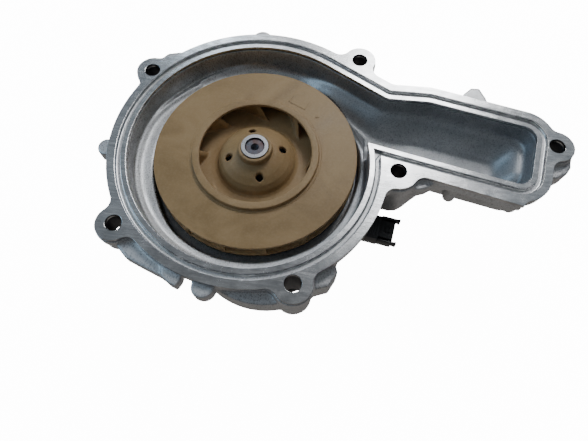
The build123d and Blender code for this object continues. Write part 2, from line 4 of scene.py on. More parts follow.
import bmesh
import bpy
import numpy as np
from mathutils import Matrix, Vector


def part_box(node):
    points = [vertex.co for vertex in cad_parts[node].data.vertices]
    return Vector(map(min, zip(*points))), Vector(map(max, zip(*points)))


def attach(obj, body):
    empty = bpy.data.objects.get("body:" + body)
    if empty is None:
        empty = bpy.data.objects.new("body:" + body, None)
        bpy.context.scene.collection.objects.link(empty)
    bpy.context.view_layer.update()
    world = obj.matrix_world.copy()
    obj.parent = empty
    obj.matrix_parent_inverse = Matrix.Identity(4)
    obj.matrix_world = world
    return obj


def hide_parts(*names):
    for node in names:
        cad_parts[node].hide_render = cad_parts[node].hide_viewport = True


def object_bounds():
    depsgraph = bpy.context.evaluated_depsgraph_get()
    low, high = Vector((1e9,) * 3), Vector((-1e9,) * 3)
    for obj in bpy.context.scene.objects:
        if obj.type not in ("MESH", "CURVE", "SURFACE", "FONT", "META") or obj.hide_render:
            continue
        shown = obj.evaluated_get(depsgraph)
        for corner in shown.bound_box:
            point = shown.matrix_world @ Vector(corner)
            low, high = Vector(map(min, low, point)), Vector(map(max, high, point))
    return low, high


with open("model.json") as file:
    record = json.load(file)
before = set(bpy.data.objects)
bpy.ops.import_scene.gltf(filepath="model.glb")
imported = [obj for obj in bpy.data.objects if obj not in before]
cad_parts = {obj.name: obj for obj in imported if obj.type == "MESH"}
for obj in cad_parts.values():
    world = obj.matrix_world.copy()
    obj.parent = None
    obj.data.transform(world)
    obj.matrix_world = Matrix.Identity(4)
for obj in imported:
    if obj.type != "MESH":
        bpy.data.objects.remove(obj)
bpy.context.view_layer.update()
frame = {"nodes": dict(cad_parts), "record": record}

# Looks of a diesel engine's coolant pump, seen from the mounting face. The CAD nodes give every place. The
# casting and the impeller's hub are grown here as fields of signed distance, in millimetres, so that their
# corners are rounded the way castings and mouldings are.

import openvdb
from mathutils import Matrix, Vector

MM = 0.001

# ---------------------------------------------------------------- sizes, in millimetres

# Camera: the view of the photograph
CAMERA_AT = (44.7, -150.5, 244.0)
CAMERA_TURN_DEG = 7.453
CAMERA_TILT_DEG = 23.19
CAMERA_ROLL_DEG = 0.35
CAMERA_LENS = 28.04

# Casting
CAST_STEP = 0.9            # sampling of the casting
RIM_DEPTH = 2.6            # the machined rim is this deep, down to the groove's floor
RIM_PROUD = 0.35           # the machined rim stands this far outside the cast skin below it
RIM_BEVEL = 0.18
FLANGE_THICK = 9.0
ABOVE_FACE = 6.0           # fields run this far past the mounting face, where the casting is cut off
WALL = 4.8
VOLUTE_R = 79.6
VOLUTE_BACK_Z = -29.0
DUCT_BACK_Z = -33.0
DUCT_START_X = 58.0
DUCT_SHELF_Z = -14.5       # the duct's far wall stands on a shelf, from which its floor falls away
CHAMBER_R = 70.4
CHAMBER_Z = -24.0
CHAMBER_SHADE_TOP_Z = -17.8    # the chamber's wall takes painted shade below this
WALL_DRAFT = 0.035         # slope of the cavity's walls
BODY_FILLET = 5.0
LUG_FILLET = 3.5
LOBE_FILLET = 1.6
WEB_FILLET = 1.4
LUGS = (                    # centre x, y, radius, depth of the boss
    (-78.2, 49.6, 10.6, 16.0), (59.6, 77.2, 10.6, 16.0), (-72.3, -62.4, 11.0, 18.0),
    (35.6, -84.1, 11.4, 31.0), (89.8, -5.6, 12.3, 33.0), (187.3, 25.5, 10.8, 16.0),
)
LOBES = (                   # centre x, y, radius, bottom, top
    (-93.0, -11.0, 6.0, -13.0, -3.5), (-10.5, 92.0, 7.0, -14.0, -5.0), (-14.0, -91.5, 6.8, -13.0, -3.5),
    (15.0, -50.0, 46.5, -26.0, -9.5), (127.5, -5.0, 4.0, -27.0, -4.5), (166.0, -5.5, 6.0, -27.0, -4.5),
)
WEBS = (                    # outline, bottom, top
    (((-80, -62), (-73, -70.5), (-66, -77), (-62, -80.5), (-51, -84.5), (-38, -89), (-34, -80), (-60, -58)),
     -14.0, -5.0),
    (((-40, -82), (-38.5, -89), (-33, -92.5), (-29, -94), (-27, -90), (-26, -82)), -12.0, -3.5),
    (((-80, 60), (-73, 69), (-64, 71.5), (-61, 68), (-60, 55), (-70, 52)), -14.0, -4.0),
    (((184, 20), (199, 22), (198, 15), (195.5, 10.5), (188, 5.5), (178, 8)), -20.0, -6.0),
    (((40, -80), (47.5, -84), (56, -80.5), (60, -72), (56, -60)), -26.0, -8.5),
    (((127, 50), (131, 62), (136, 67.5), (141.5, 68), (146, 60), (150, 45)), -14.0, -4.0),
    (((97, -13.5), (103.4, -14.6), (108.4, -12.6), (113.3, -9), (119.6, -7.8), (125, -7.6), (125, -1),
      (97, 2)), -14.0, -4.5),
    (((84, -17.3), (94, -17), (100.7, -11.6), (107.8, -4.7), (112, 1), (88, 2)), -33.0, -6.0),
)
GROOVE_DEPTH = 2.6
GROOVE_WIDTH = 3.6
GROOVE_STEPS = 10          # strips across the rounded floor of the groove
GROOVE_RUN = 2.0           # length of one strip along the groove
GROOVE_DISH = 0.24         # rise of the groove's floor at its sides, as a share of its width
BOLT_HOLE_R = 5.0
TONGUE_TIP = (69.5, 12.3)

# Floor of the cavity
LEDGE_CREST_R = 77.6
LEDGE_BASE_Z = -16.8
LEDGE_CREST_WIDTH = 2.2
NEAR_LEDGE_Z = -15.0       # flat part of the ledge, on the side of the tongue
DUCT_FLOOR_Z = -21.0       # at the volute
DUCT_FALL = 7.0            # from there to the duct's deepest place
DUCT_END_RISE = 8.0

# Back of the casting
CARRIER = (                # radius, z of the bearing carrier
    (0, -26), (46, -26), (46, -29), (31, -43), (30.2, -58), (27.5, -58), (27.5, -88), (0, -88),
)
RIB_ANGLES_DEG = (30, 90, 150, 210, 270)
RIB_MIDDLE_R = 50
RIB_LENGTH = 58
RIB_THICK = 5
RIB_BACK_Z = -41
RIB_SLOPE = 0.18
RIB_ROOT_R = 24
COIL_PADS = 4
COIL_PAD_START_DEG = 15
COIL_PAD_AT_R = 39.5
COIL_PAD_R = 6.0
COIL_PAD_BACK_Z = -46.5
CENTRE_BORES = (           # radius, low, high: seal's mouth, seal's seat, shaft's hole, bearing's seat
    (21.0, -31, 4), (17.5, -43, 4), (13.0, -60, 4), (19.0, -99, -46),
)

# Impeller
IMPELLER_STEP = 0.55
IMPELLER_R = 65.0
EYE_R = 35.8
EYE_LIP_R = 40.7
EYE_LIP_Z = -6.1
SHROUD_Z = -8.9
SHROUD_THICK = 2.5
SHROUD_THROAT = ((35.8, -8.0), (38.5, -9.7), (42.0, -10.8), (47.0, -11.4))   # underside at the eye
DISC_Z = -19.4
DISC_BACK_Z = -21.6
SLEEVE_R = 10.9
SLEEVE_FRONT_Z = -0.8
BUSH_R = 8.5
BALANCE_R = 17.4
BALANCE_HOLE_R = 2.3
BALANCE_START_DEG = 17.0
VANE_ANGLE_DEG = 32.3
VANE_THICK = 2.0
VANE_TIP_DEG = -121.0
VANE_PITCH_DEG = 45.0
MAIN_VANE_R = 33.0
SPLITTER_VANE_R = 44.0
MOULD_MARK = ((18.2, 49.3), (15.5, 43.2), (26.8, 38.1), (29.0, 44.0))   # edge of a blank mould insert
MOULD_LINE_WIDTH = 0.55
GATE_MARK = (35.8, 33.3)

# Plug, in its own frame: origin at its root, x along the plug
PLUG_ROOT = (77.0, -28.3, -39.5)
PLUG_TURN_DEG = -8.0
PLUG_LENGTH = 18.5
PLUG_WIDTH = 17.0
PLUG_HEIGHT = 10.5

# Stage
FLOOR_GAP = 0.2
FLOOR_HALF_SIZE_M = 3.0
FLOOR_GLOW = 14.0
LIGHT_TARGET_M = (0.05, 0.0, 0.0)
SKIES = (                   # name, place in metres, size in metres, radiance, colour; they face down
    ("sky_far", (-0.2, 1.5, 1.6), (3.4, 2.0), 0.30, (0.80, 0.90, 1.0)),
    ("sky_overhead", (-0.2, -0.3, 1.6), (3.4, 1.6), 0.12, (0.96, 0.97, 1.0)),
)
WINDOWS = (                 # the same; they face the part
    ("window", (0.27, 0.89, 1.02), (0.42, 0.52), 12.0, (1, 1, 1)),
    ("window_low", (0.21, 0.52, 1.02), (0.16, 0.20), 4.0, (1, 1, 1)),
    ("window_mid", (-0.17, 0.96, 1.02), (0.22, 0.10), 5.0, (1, 1, 1)),
    ("window_strip", (-0.40, 1.08, 1.02), (0.26, 0.16), 6.0, (0.75, 0.88, 1.0)),
    ("blue_sky_left", (-1.20, 0.0, 0.75), (0.9, 0.6), 2.8, (0.50, 0.76, 1.0)),
)


# ---------------------------------------------------------------- fields of signed distance

class Grid:
    """A block of space sampled evenly. A field on it is negative inside the solid."""

    def __init__(self, low, high, step):
        self.low = low
        self.step = step
        axes = [np.arange(a, b + step, step, dtype=np.float32) for a, b in zip(low, high)]
        self.x = axes[0][:, None, None]
        self.y = axes[1][None, :, None]
        self.z = axes[2][None, None, :]

    def window(self, low, high):
        """The part of the grid in a box, and the slices that pick it out of a field."""
        part = Grid.__new__(Grid)
        slices = []
        for axis, a, b in zip(("x", "y", "z"), low, high):
            values = getattr(self, axis)
            line = values.ravel()
            first, last = np.searchsorted(line, (a, b))
            first = max(int(first) - 1, 0)
            piece = line[first:int(last) + 1]
            shape = [1, 1, 1]
            shape["xyz".index(axis)] = len(piece)
            setattr(part, axis, piece.reshape(shape))
            slices.append(slice(first, first + len(piece)))
        part.low = tuple(float(getattr(part, axis).ravel()[0]) for axis in "xyz")
        part.step = self.step
        return part, tuple(slices)


def rounded_max(a, b):
    """Distance to the overlap of two shapes, exact outside its corners."""
    return np.hypot(np.maximum(a, 0), np.maximum(b, 0)) + np.minimum(np.maximum(a, b), 0)


def join(a, b, blend):
    """Union with a fillet of about `blend` where the two meet."""
    near = np.maximum(blend - np.abs(a - b), 0) / blend
    return np.minimum(a, b) - near * near * (blend / 4)


def cut(a, b, blend):
    """a without b, with the edge rounded over `blend`."""
    return -join(-a, b, blend)


def circle(grid, x, y, radius):
    """Plan of a circle."""
    return np.hypot(grid.x - x, grid.y - y) - radius


def bar(grid, x, y, length, width, turn_deg, corner=0.0):
    """Plan of a bar centred on a point, with rounded corners."""
    c, s = cos(radians(turn_deg)), sin(radians(turn_deg))
    along = np.abs((grid.x - x) * c + (grid.y - y) * s) - length / 2 + corner
    across = np.abs((grid.y - y) * c - (grid.x - x) * s) - width / 2 + corner
    return rounded_max(along, across) - corner


def slab(grid, plan, z_low, z_high, edge=0.0):
    """A plan outline given height, with its edges rounded."""
    height = np.abs(grid.z - (z_low + z_high) / 2) - (z_high - z_low) / 2
    return rounded_max(plan + edge, height + edge) - edge


def polygon_distance(u, v, points):
    """Signed distance in a plane to a closed polygon, negative inside."""
    best = np.full(np.broadcast(u, v).shape, 1e9, np.float32)
    inside = np.zeros(best.shape, bool)
    for (x1, y1), (x2, y2) in zip(points, points[1:] + points[:1]):
        dx, dy = x2 - x1, y2 - y1
        share = ((u - x1) * dx + (v - y1) * dy) / max(dx * dx + dy * dy, 1e-12)
        share = np.clip(share, 0, 1)
        best = np.minimum(best, (u - x1 - share * dx) ** 2 + (v - y1 - share * dy) ** 2)
        if y1 != y2:
            crossing = ((y1 > v) != (y2 > v)) & (u < x1 + (v - y1) * dx / dy)
            inside ^= crossing
    distance = np.sqrt(best)
    return np.where(inside, -distance, distance)


def ease(low, high, value):
    """0 below low, 1 above high, smooth between."""
    share = np.clip((value - low) / (high - low), 0, 1)
    return share * share * (3 - 2 * share)


def mesh_from_field(name, grid, field):
    """Closed mesh of the surface where a field is zero."""
    volume = openvdb.FloatGrid(float(field.max()))
    volume.copyFromArray(np.ascontiguousarray(field, dtype=np.float32))
    points, triangles, quads = volume.convertToPolygons(0.0, 0.0)
    points = (points * grid.step + np.array(grid.low)) * MM
    faces = [tuple(f[::-1]) for f in quads.tolist()]
    faces += [tuple(f[::-1]) for f in triangles.tolist()]
    mesh = bpy.data.meshes.new(name)
    mesh.from_pydata(points.tolist(), [], faces)
    mesh.validate()
    mesh.shade_smooth()
    return mesh


# ---------------------------------------------------------------- mesh helpers

def link(name, mesh, *materials):
    """Object made of a mesh, with its materials, put into the scene."""
    obj = bpy.data.objects.new(name, mesh)
    bpy.context.scene.collection.objects.link(obj)
    mesh.materials.clear()
    for material in materials:
        mesh.materials.append(material)
    return obj


def crisp(mesh, angle_deg=35):
    """Smooth shading except across sharp edges."""
    mesh.shade_smooth()
    mesh.set_sharp_from_angle(angle=radians(angle_deg))


def lathe(profile, steps=192):
    """Closed ring about the shaft axis from (radius, z) points in millimetres."""
    bm = bmesh.new()
    rings = []
    for i in range(steps):
        turn = 2 * pi * i / steps
        rings.append([bm.verts.new((r * cos(turn) * MM, r * sin(turn) * MM, z * MM)) for r, z in profile])
    for i, ring in enumerate(rings):
        following = rings[(i + 1) % steps]
        for j in range(len(profile)):
            k = (j + 1) % len(profile)
            bm.faces.new((ring[j], following[j], following[k], ring[k]))
    bmesh.ops.recalc_face_normals(bm, faces=bm.faces)
    mesh = bpy.data.meshes.new("lathe")
    bm.to_mesh(mesh)
    bm.free()
    crisp(mesh)
    return mesh


def softened(points, radius, steps=3):
    """Polygon with each corner replaced by a short curve of about that radius."""
    out = []
    count = len(points)
    for i in range(count):
        before, here, after = (Vector(points[j % count]) for j in (i - 1, i, i + 1))
        reach = min(radius, (before - here).length * 0.45, (after - here).length * 0.45)
        start = here + (before - here).normalized() * reach
        end = here + (after - here).normalized() * reach
        for s in range(steps + 1):
            t = s / steps
            p = start * (1 - t) ** 2 + here * 2 * t * (1 - t) + end * t ** 2
            out.append((p.x, p.y))
    return out


def top_outlines(node):
    """Closed outlines of a CAD node's flat face at z = 0, in millimetres, longest first."""
    mesh = frame["nodes"][node].data
    places = {}
    counts = {}
    for face in mesh.polygons:
        corners = [mesh.vertices[i].co for i in face.vertices]
        if any(abs(c.z) > 1e-6 for c in corners):
            continue
        keys = []
        for c in corners:
            key = (round(c.x * 1e6), round(c.y * 1e6))
            places[key] = (c.x / MM, c.y / MM)
            keys.append(key)
        for a, b in zip(keys, keys[1:] + keys[:1]):
            counts[(a, b)] = counts.get((a, b), 0) + 1
    onward = {a: b for (a, b) in counts if (b, a) not in counts}
    outlines = []
    while onward:
        start, here = onward.popitem()
        loop = [start]
        while here != start:
            loop.append(here)
            here = onward.pop(here)
        outlines.append([places[key] for key in loop])
    outlines.sort(key=lambda loop: -sum(hypot(a[0] - b[0], a[1] - b[1]) for a, b in zip(loop, loop[1:])))
    return outlines


def filled_sheet(outlines, z_low, z_high, bevel):
    """Flat sheet from nested outlines, with its edges broken."""
    curve = bpy.data.curves.new("sheet", "CURVE")
    curve.dimensions = "2D"
    curve.fill_mode = "BOTH"
    curve.extrude = ((z_high - z_low) / 2 - bevel) * MM
    curve.bevel_depth = bevel * MM
    curve.bevel_resolution = 1
    curve.offset = -bevel * MM
    for outline in outlines:
        spline = curve.splines.new("POLY")
        spline.points.add(len(outline) - 1)
        for point, (x, y) in zip(spline.points, outline):
            point.co = (x * MM, y * MM, 0, 1)
        spline.use_cyclic_u = True
    holder = bpy.data.objects.new("sheet", curve)
    bpy.context.scene.collection.objects.link(holder)
    mesh = bpy.data.meshes.new_from_object(holder)
    bpy.data.objects.remove(holder)
    mesh.transform(Matrix.Translation((0, 0, (z_low + z_high) / 2 * MM)))
    bm = bmesh.new()
    bm.from_mesh(mesh)
    bmesh.ops.remove_doubles(bm, verts=bm.verts, dist=1e-6)
    bmesh.ops.recalc_face_normals(bm, faces=bm.faces)
    bm.to_mesh(mesh)
    bm.free()
    crisp(mesh, 30)
    for face in mesh.polygons:
        face.use_smooth = abs(face.normal.z) < 0.99
    return mesh


def channel(outer, inner, depth, width):
    """Floor of a groove between two outlines, rounded across."""
    inner_line = np.array(inner)
    points = np.array(outer)
    runs = np.linalg.norm(np.roll(points, -1, 0) - points, axis=1)
    dense = []
    for point, onward, run in zip(points, np.roll(points, -1, 0), runs):
        count = max(int(run / GROOVE_RUN), 1)
        dense += [point + (onward - point) * i / count for i in range(count)]
    points = np.array(dense)
    ends = np.roll(inner_line, -1, 0) - inner_line
    lengths = np.maximum((ends ** 2).sum(1), 1e-12)
    bm = bmesh.new()
    rows = []
    for point in points:
        share = np.clip(((point - inner_line) * ends).sum(1) / lengths, 0, 1)
        feet = inner_line + ends * share[:, None]
        foot = feet[np.argmin(((feet - point) ** 2).sum(1))]
        row = []
        for i in range(GROOVE_STEPS + 1):
            across = 2 * i / GROOVE_STEPS - 1
            x, y = point + (foot - point) * i / GROOVE_STEPS
            z = -depth + GROOVE_DISH * width * (1 - (1 - across ** 2) ** 0.5)
            row.append(bm.verts.new((x * MM, y * MM, z * MM)))
        rows.append(row)
    for row, following in zip(rows, rows[1:] + rows[:1]):
        for j in range(GROOVE_STEPS):
            bm.faces.new((row[j], following[j], following[j + 1], row[j + 1]))
    mesh = bpy.data.meshes.new("channel")
    bm.to_mesh(mesh)
    bm.free()
    if sum(face.normal.z for face in mesh.polygons) < 0:
        mesh.flip_normals()
    mesh.shade_smooth()
    return mesh


# ---------------------------------------------------------------- materials

class Shader:
    """Short calls for building one node material."""

    def __init__(self, name):
        self.material = bpy.data.materials.new(name)
        self.material.use_nodes = True
        self.tree = self.material.node_tree
        self.surface = self.tree.nodes["Principled BSDF"]
        self.place = self.tree.nodes.new("ShaderNodeNewGeometry").outputs["Position"]

    def set(self, **values):
        for name, value in values.items():
            self.surface.inputs[name.replace("_", " ")].default_value = value

    def node(self, kind, **inputs):
        node = self.tree.nodes.new(kind)
        for name, value in inputs.items():
            socket = node.inputs[name.replace("_", " ")]
            if isinstance(value, bpy.types.NodeSocket):
                self.tree.links.new(value, socket)
            else:
                socket.default_value = value
        return node

    def stretched(self, x, y, z):
        """Place in the part's frame, scaled on each axis."""
        return self.node("ShaderNodeMapping", Vector=self.place, Scale=(x, y, z)).outputs[0]

    def noise(self, scale, detail=3.0, roughness=0.5, vector=None, distortion=0.0):
        node = self.node("ShaderNodeTexNoise", Vector=vector or self.place, Scale=scale, Detail=detail,
                         Roughness=roughness, Distortion=distortion)
        return node.outputs["Fac"]

    def ramp(self, factor, *stops):
        """Grey or colour ramp from (position, value) stops."""
        node = self.node("ShaderNodeValToRGB", Fac=factor)
        elements = node.color_ramp.elements
        while len(elements) < len(stops):
            elements.new(0.5)
        for element, (position, value) in zip(elements, stops):
            element.position = position
            colour = value if isinstance(value, tuple) else (value, value, value)
            element.color = (*colour, 1)
        return node.outputs["Color"]

    def mix(self, factor, a, b):
        node = self.node("ShaderNodeMix")
        node.data_type = "RGBA"
        for index, value in ((0, factor), (6, a), (7, b)):
            if isinstance(value, bpy.types.NodeSocket):
                self.tree.links.new(value, node.inputs[index])
            elif index == 0:
                node.inputs[index].default_value = value
            else:
                node.inputs[index].default_value = (*value, 1)
        return node.outputs[2]

    def bump(self, height, distance_mm, strength=1.0, below=None):
        inputs = {"Height": height, "Distance": distance_mm * MM, "Strength": strength}
        if below is not None:
            inputs["Normal"] = below
        return self.node("ShaderNodeBump", **inputs).outputs["Normal"]

    def wire(self, name, socket):
        self.tree.links.new(socket, self.surface.inputs[name])


def cast_aluminium(name, depth, painted_shade_from=None):
    """Sand-blasted casting: fine grain, slow mottling, slightly darker in patches.

    painted_shade_from is a pair of x in millimetres over which painted shade darkens the metal.
    """
    s = Shader(name)
    s.set(Metallic=0.85)
    patches = s.noise(28, 4, 0.6)
    grain = s.noise(900, 2, 0.7)
    tone = s.ramp(patches, (0.30, (0.56 * depth, 0.57 * depth, 0.585 * depth)),
                  (0.68, (0.72 * depth, 0.73 * depth, 0.74 * depth)))
    pores = s.ramp(s.noise(1300, 2, 0.6), (0.36, 0.55), (0.50, 0.0))
    grained = s.mix(pores, tone, (0.22 * depth, 0.225 * depth, 0.23 * depth))
    # Painted shade: between the two given x the colour darkens towards a dim blue-grey.
    if painted_shade_from is not None:
        start, end = painted_shade_from
        along = s.node("ShaderNodeSeparateXYZ", Vector=s.place).outputs["X"]
        share = s.node("ShaderNodeMapRange", Value=along, From_Min=start * MM, From_Max=end * MM)
        grained = s.mix(share.outputs["Result"], grained, s.mix(0.42, grained, (0.10, 0.115, 0.135)))
    s.wire("Base Color", grained)
    s.wire("Roughness", s.ramp(s.noise(60, 5, 0.65), (0.3, 0.42), (0.7, 0.58)))
    s.wire("Normal", s.bump(grain, 0.05, 0.7, s.bump(patches, 0.4, 0.5)))
    return s.material


def machined_aluminium(name, rough):
    """Milled face: bright, with long faint cutter marks, blotches and a few scratches."""
    s = Shader(name)
    s.set(Metallic=1.0)
    marks = s.noise(60, 6, 0.75, s.stretched(1.0, 9.0, 1.0))
    blotches = s.noise(45, 4, 0.7)
    tone = s.ramp(blotches, (0.36, (0.44, 0.45, 0.46)), (0.62, (0.68, 0.685, 0.69)))
    scratches = s.ramp(s.noise(240, 2, 0.5, s.stretched(0.12, 1.0, 1.0), 0.8), (0.66, 0.0), (0.70, 0.5))
    worn = s.mix(scratches, tone, (0.85, 0.85, 0.85))
    s.wire("Base Color", s.mix(s.ramp(marks, (0.40, 0.0), (0.66, 0.75)), worn, (0.34, 0.345, 0.35)))
    s.wire("Roughness", s.ramp(s.noise(130, 5, 0.7), (0.3, rough - 0.06), (0.7, rough + 0.07)))
    s.wire("Normal", s.bump(marks, 0.03, 0.6, s.bump(s.noise(70, 3, 0.5), 0.10, 1.0)))
    return s.material


def tan_plastic(name, depth):
    """Glass-filled moulding in tan brown, slightly mottled along the flow of the melt."""
    s = Shader(name)
    s.set(IOR=1.38)
    flow = s.noise(26, 5, 0.62, distortion=1.2)
    specks = s.noise(700, 2, 0.6)
    shades = ((0.28, (0.335, 0.212, 0.094)), (0.52, (0.430, 0.282, 0.134)), (0.78, (0.510, 0.350, 0.185)))
    tone = s.ramp(flow, *[(place, tuple(depth * v for v in colour)) for place, colour in shades])
    s.wire("Base Color", s.mix(s.ramp(specks, (0.45, 0.0), (0.9, 0.3)), tone, (0.47, 0.35, 0.21)))
    s.wire("Roughness", s.ramp(flow, (0.3, 0.42), (0.7, 0.55)))
    s.wire("Normal", s.bump(specks, 0.02, 0.5, s.bump(flow, 0.15, 0.35)))
    return s.material


def black_plastic():
    s = Shader("black_plastic")
    s.set(IOR=1.5)
    grain = s.noise(1200, 2, 0.6)
    s.wire("Base Color", s.ramp(s.noise(90, 3), (0.3, (0.016, 0.016, 0.018)), (0.75, (0.034, 0.034, 0.038))))
    s.wire("Roughness", s.ramp(grain, (0.3, 0.34), (0.8, 0.50)))
    s.wire("Normal", s.bump(grain, 0.02, 0.5))
    return s.material


def turned_steel(name, light, dark, rough=(0.22, 0.40)):
    """Steel with fine rings round the shaft axis, as a lathe leaves them."""
    s = Shader(name)
    s.set(Metallic=1.0)
    split = s.node("ShaderNodeSeparateXYZ", Vector=s.place)
    square = [s.node("ShaderNodeMath") for _ in range(4)]
    for node, operation in zip(square, ("MULTIPLY", "MULTIPLY", "ADD", "SQRT")):
        node.operation = operation
    for node, axis in zip(square, ("X", "Y")):
        s.tree.links.new(split.outputs[axis], node.inputs[0])
        s.tree.links.new(split.outputs[axis], node.inputs[1])
    s.tree.links.new(square[0].outputs[0], square[2].inputs[0])
    s.tree.links.new(square[1].outputs[0], square[2].inputs[1])
    s.tree.links.new(square[2].outputs[0], square[3].inputs[0])
    polar = s.node("ShaderNodeCombineXYZ", X=square[3].outputs[0], Z=split.outputs["Z"])
    rings = s.noise(2600, 3, 0.6, polar.outputs[0])
    stains = s.noise(140, 4, 0.6)
    s.wire("Base Color", s.ramp(stains, (0.30, dark), (0.70, light)))
    s.wire("Roughness", s.ramp(stains, (0.3, rough[1]), (0.7, rough[0])))
    s.wire("Normal", s.bump(rings, 0.02, 0.6))
    return s.material


def coated_steel():
    """Dark cathodic coating, a little orange-peeled, worn grey in places."""
    s = Shader("dark_coated_steel")
    s.set(Metallic=0.2, Coat_Weight=0.25, Coat_Roughness=0.3)
    wear = s.noise(70, 6, 0.7)
    s.wire("Base Color", s.ramp(wear, (0.45, (0.016, 0.016, 0.018)), (0.72, (0.05, 0.05, 0.053)),
                                (0.86, (0.14, 0.14, 0.145))))
    s.wire("Roughness", s.ramp(wear, (0.3, 0.34), (0.8, 0.55)))
    s.wire("Normal", s.bump(s.noise(500, 3, 0.6), 0.03, 0.5))
    return s.material


def plain_grain(name, low, high, rough, metallic=0.0, scale=300, depth=0.03):
    """Material with a light grain for small pieces."""
    s = Shader(name)
    s.set(Metallic=metallic)
    grain = s.noise(scale, 4, 0.6)
    s.wire("Base Color", s.ramp(grain, (0.3, low), (0.7, high)))
    s.wire("Roughness", s.ramp(grain, (0.3, rough - 0.08), (0.7, rough + 0.08)))
    s.wire("Normal", s.bump(grain, depth, 0.5))
    return s.material


MATERIALS = {
    "cast_aluminium": cast_aluminium("cast_aluminium", 1.0),
    "tan_plastic": tan_plastic("tan_plastic", 0.83),
    "black_plastic": black_plastic(),
    "machined_steel": turned_steel("machined_steel", (0.56, 0.56, 0.57), (0.34, 0.34, 0.36)),
    "spring_steel": turned_steel("spring_steel", (0.34, 0.35, 0.38), (0.20, 0.21, 0.25), (0.3, 0.45)),
    "dark_coated_steel": coated_steel(),
    "cage_plastic": plain_grain("cage_plastic", (0.16, 0.11, 0.06), (0.24, 0.18, 0.11), 0.5),
    "seal_rubber": plain_grain("seal_rubber", (0.010, 0.010, 0.010), (0.030, 0.030, 0.030), 0.62),
    "carbon": plain_grain("carbon", (0.02, 0.02, 0.022), (0.05, 0.05, 0.055), 0.35),
    "copper": plain_grain("copper", (0.50, 0.20, 0.09), (0.72, 0.34, 0.18), 0.3, 1.0),
    "tinned_brass": plain_grain("tinned_brass", (0.55, 0.50, 0.36), (0.74, 0.70, 0.56), 0.25, 1.0),
}
# The hub's copy of the tan plastic is a little darker than the shroud's: painted shade for the hub deep in
# the eye.
HUB_PLASTIC_SHADED = tan_plastic("tan_plastic_hub_shaded", 0.82)
MACHINED = machined_aluminium("machined_aluminium", 0.23)
MILLED_GROOVE = machined_aluminium("milled_groove", 0.33)
CHAMBER_SHADE_CAST = cast_aluminium("chamber_shade_cast", 0.38)                  # painted shade: a darker copy of the casting in the impeller chamber
CAVITY_SHADE_CAST = cast_aluminium("cavity_shade_cast", 1.0, (5.0, 62.0))      # in the rest of the cavity, with painted shade darkening it along x from 5 to 62 mm
# Dark copy of the turned steel for the shaft: its darkness is painted shade for the recessed shaft end, with
# reddish patches.
SHAFT_STEEL_SHADED = turned_steel("shaft_steel_shaded", (0.13, 0.15, 0.18), (0.10, 0.055, 0.045), (0.25, 0.45))
# Walls of the bolt holes, dark as painted shade
BOLT_BORE_SHADE = plain_grain("bolt_bore_shade", (0.035, 0.035, 0.04), (0.08, 0.08, 0.085), 0.45, 0.6)


# ---------------------------------------------------------------- housing

def casting_outside(grid, cavity, flange):
    """Flange, volute, duct and everything cast onto their outside, before any hollow is cut."""
    wall = cavity - WALL
    body = slab(grid, flange + RIM_PROUD, -FLANGE_THICK, ABOVE_FACE, edge=1.6)
    volute = np.maximum(wall, circle(grid, 0, 0, VOLUTE_R + WALL))
    body = join(body, slab(grid, volute, VOLUTE_BACK_Z, ABOVE_FACE, edge=6), BODY_FILLET)
    duct = np.maximum(wall, DUCT_START_X - grid.x)
    body = join(body, slab(grid, duct, DUCT_BACK_Z, ABOVE_FACE, edge=5), BODY_FILLET)
    for x, y, radius, depth in LUGS:
        near, box = grid.window((x - 22, y - 22, -depth - 8), (x + 22, y + 22, 1))
        boss = slab(near, circle(near, x, y, radius - 0.4) - (near.z + depth) * 0.01, -depth, 1, edge=0.8)
        body[box] = join(body[box], boss, LUG_FILLET)
    for x, y, radius, low, high in LOBES:
        reach = radius + 10
        near, box = grid.window((x - reach, y - reach, low - 6), (x + reach, y + reach, 1))
        lobe = slab(near, circle(near, x, y, radius), low, high, edge=1.0)
        body[box] = join(body[box], lobe, LOBE_FILLET)
    for outline, low, high in WEBS:
        xs, ys = zip(*outline)
        near, box = grid.window((min(xs) - 10, min(ys) - 10, low - 6), (max(xs) + 10, max(ys) + 10, 1))
        plan = polygon_distance(near.x, near.y, list(outline))
        body[box] = join(body[box], slab(near, plan, low, high, edge=0.9), WEB_FILLET)
    return body


def casting_back(grid, body):
    """Bearing carrier, ribs and coil pads behind the volute."""
    near, box = grid.window((-84, -84, -92), (84, 84, -22))
    back = body[box]
    radius = np.hypot(near.x, near.y)
    back = join(back, polygon_distance(radius, near.z + 0 * radius, list(CARRIER)), 1.5)
    front = VOLUTE_BACK_Z + 2
    for angle in RIB_ANGLES_DEG:
        x, y = RIB_MIDDLE_R * cos(radians(angle)), RIB_MIDDLE_R * sin(radians(angle))
        slope = (near.z - RIB_BACK_Z) + RIB_SLOPE * (RIB_ROOT_R - radius)
        plan = bar(near, x, y, RIB_LENGTH, RIB_THICK, angle, 2)
        rib = np.maximum(slab(near, plan, RIB_BACK_Z, front, edge=1.2), -slope)
        back = join(back, rib, 3)
    for i in range(COIL_PADS):
        turn = radians(COIL_PAD_START_DEG + 90 * i)
        x, y = COIL_PAD_AT_R * cos(turn), COIL_PAD_AT_R * sin(turn)
        pad = slab(near, circle(near, x, y, COIL_PAD_R), COIL_PAD_BACK_Z, front, edge=0.4)
        back = join(back, pad, 2)
    body[box] = back
    return body


def blurred(field, reach):
    """A plan field averaged over a few cells each way, which rounds its corners."""
    weights = np.exp(-0.5 * (np.arange(-3 * reach, 3 * reach + 1) / reach) ** 2)
    weights /= weights.sum()
    for axis in (0, 1):
        pads = [(3 * reach, 3 * reach) if a == axis else (0, 0) for a in range(3)]
        padded = np.pad(field, pads, mode="edge")
        total = np.zeros_like(field)
        for i, weight in enumerate(weights):
            total += weight * np.take(padded, np.arange(i, i + field.shape[axis]), axis=axis)
        field = total
    return field


